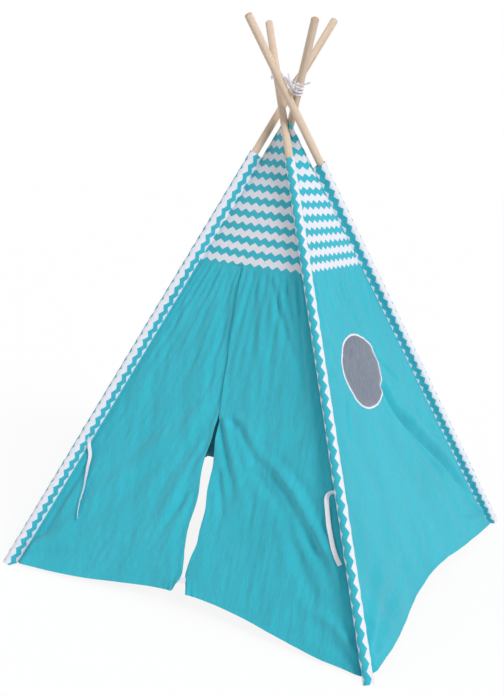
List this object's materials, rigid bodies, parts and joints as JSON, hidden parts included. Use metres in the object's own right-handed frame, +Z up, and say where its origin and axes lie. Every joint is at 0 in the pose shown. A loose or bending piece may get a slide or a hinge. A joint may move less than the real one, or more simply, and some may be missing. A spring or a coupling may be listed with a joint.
{
  "type": "kids teepee",
  "caption": "Child's play teepee: wooden poles in fabric sleeves, a four-sided cotton cover with chevron top, flap door, round mesh window and rope-tied crossing.",
  "frame": {"origin": "on the floor, midway between the feet", "axes": "+Z up, -Y out of the door, +X towards the side with the window"},
  "size_m": [1.1894, 1.1896, 1.6267],
  "materials": {
    "pole_wood": "smooth bare dowel",
    "ferrule_metal": "plain drawn tube",
    "teal_cotton": "plain woven cotton",
    "chevron_cotton": "woven cotton printed with a blue and white zigzag",
    "white_tape": "woven tape",
    "window_mesh": "fine netting",
    "white_rope": "twisted cotton rope"
  },
  "bodies": {
    "cover": {"front_top_panel": "chevron_cotton", "left_door_side": "teal_cotton", "right_door_side": "teal_cotton", "right_top_panel": "chevron_cotton", "right_panel": "teal_cotton", "back_top_panel": "chevron_cotton", "back_panel": "teal_cotton", "left_top_panel": "chevron_cotton", "left_panel": "teal_cotton", "window_binding": "white_tape", "window_netting": "window_mesh", "lashing_rope": "white_rope"},
    "front_left_pole": {"front_left_pole_lower": "pole_wood", "front_left_pole_middle": "pole_wood", "front_left_pole_upper": "pole_wood", "front_left_ferrule_lower": "ferrule_metal", "front_left_ferrule_middle": "ferrule_metal", "front_left_sleeve": "chevron_cotton", "left_tie_ribbon": "white_tape"},
    "front_right_pole": {"front_right_pole_lower": "pole_wood", "front_right_pole_middle": "pole_wood", "front_right_pole_upper": "pole_wood", "front_right_ferrule_lower": "ferrule_metal", "front_right_ferrule_middle": "ferrule_metal", "front_right_sleeve": "chevron_cotton", "right_tie_ribbon": "white_tape"},
    "back_right_pole": {"back_right_pole_lower": "pole_wood", "back_right_pole_middle": "pole_wood", "back_right_pole_upper": "pole_wood", "back_right_ferrule_lower": "ferrule_metal", "back_right_ferrule_middle": "ferrule_metal", "back_right_sleeve": "chevron_cotton"},
    "back_left_pole": {"back_left_pole_lower": "pole_wood", "back_left_pole_middle": "pole_wood", "back_left_pole_upper": "pole_wood", "back_left_ferrule_lower": "ferrule_metal", "back_left_ferrule_middle": "ferrule_metal", "back_left_sleeve": "chevron_cotton"},
    "left_door": {"left_door_flap": "teal_cotton"},
    "right_door": {"right_door_flap": "teal_cotton", "door_tab": "white_tape"}
  },
  "joints": [
    {"name": "frame_fold", "type": "hinge", "parent": "cover", "child": "front_left_pole", "pos_m": [-0.0692, 0.011, 1.326], "axis": [0.7566, -0.6539, 0], "range_deg": [0, 27], "deforming": ["front_top_panel", "left_door_side", "right_door_side", "right_top_panel", "right_panel", "back_top_panel", "back_panel", "left_top_panel", "left_panel", "front_left_sleeve", "front_right_sleeve", "back_right_sleeve", "back_left_sleeve", "lashing_rope"]},
    {"name": "front_right_fold", "type": "hinge", "parent": "cover", "child": "front_right_pole", "pos_m": [-0.0154, -0.0368, 1.326], "axis": [0.674, 0.7387, 0], "range_deg": [0, 27]},
    {"name": "back_right_fold", "type": "hinge", "parent": "cover", "child": "back_right_pole", "pos_m": [0.042, -0.051, 1.326], "axis": [-0.761, 0.6488, 0], "range_deg": [0, 27]},
    {"name": "back_left_fold", "type": "hinge", "parent": "cover", "child": "back_left_pole", "pos_m": [0.006, -0.0284, 1.326], "axis": [-0.7202, -0.6937, 0], "range_deg": [0, 27]},
    {"name": "left_door_swing", "type": "hinge", "parent": "cover", "child": "left_door", "pos_m": [-0.29396, -0.54995, 0.03298], "axis": [-0.2191, -0.3873, -0.8955], "range_deg": [0, 140]},
    {"name": "right_door_swing", "type": "hinge", "parent": "cover", "child": "right_door", "pos_m": [0.28944, -0.55048, 0.03291], "axis": [-0.3376, 0.3722, 0.8646], "range_deg": [0, 140]}
  ],
  "couplings": [
    {"joint": "front_right_fold", "follows": "frame_fold", "ratio": 1},
    {"joint": "back_right_fold", "follows": "frame_fold", "ratio": 1},
    {"joint": "back_left_fold", "follows": "frame_fold", "ratio": 1}
  ]
}
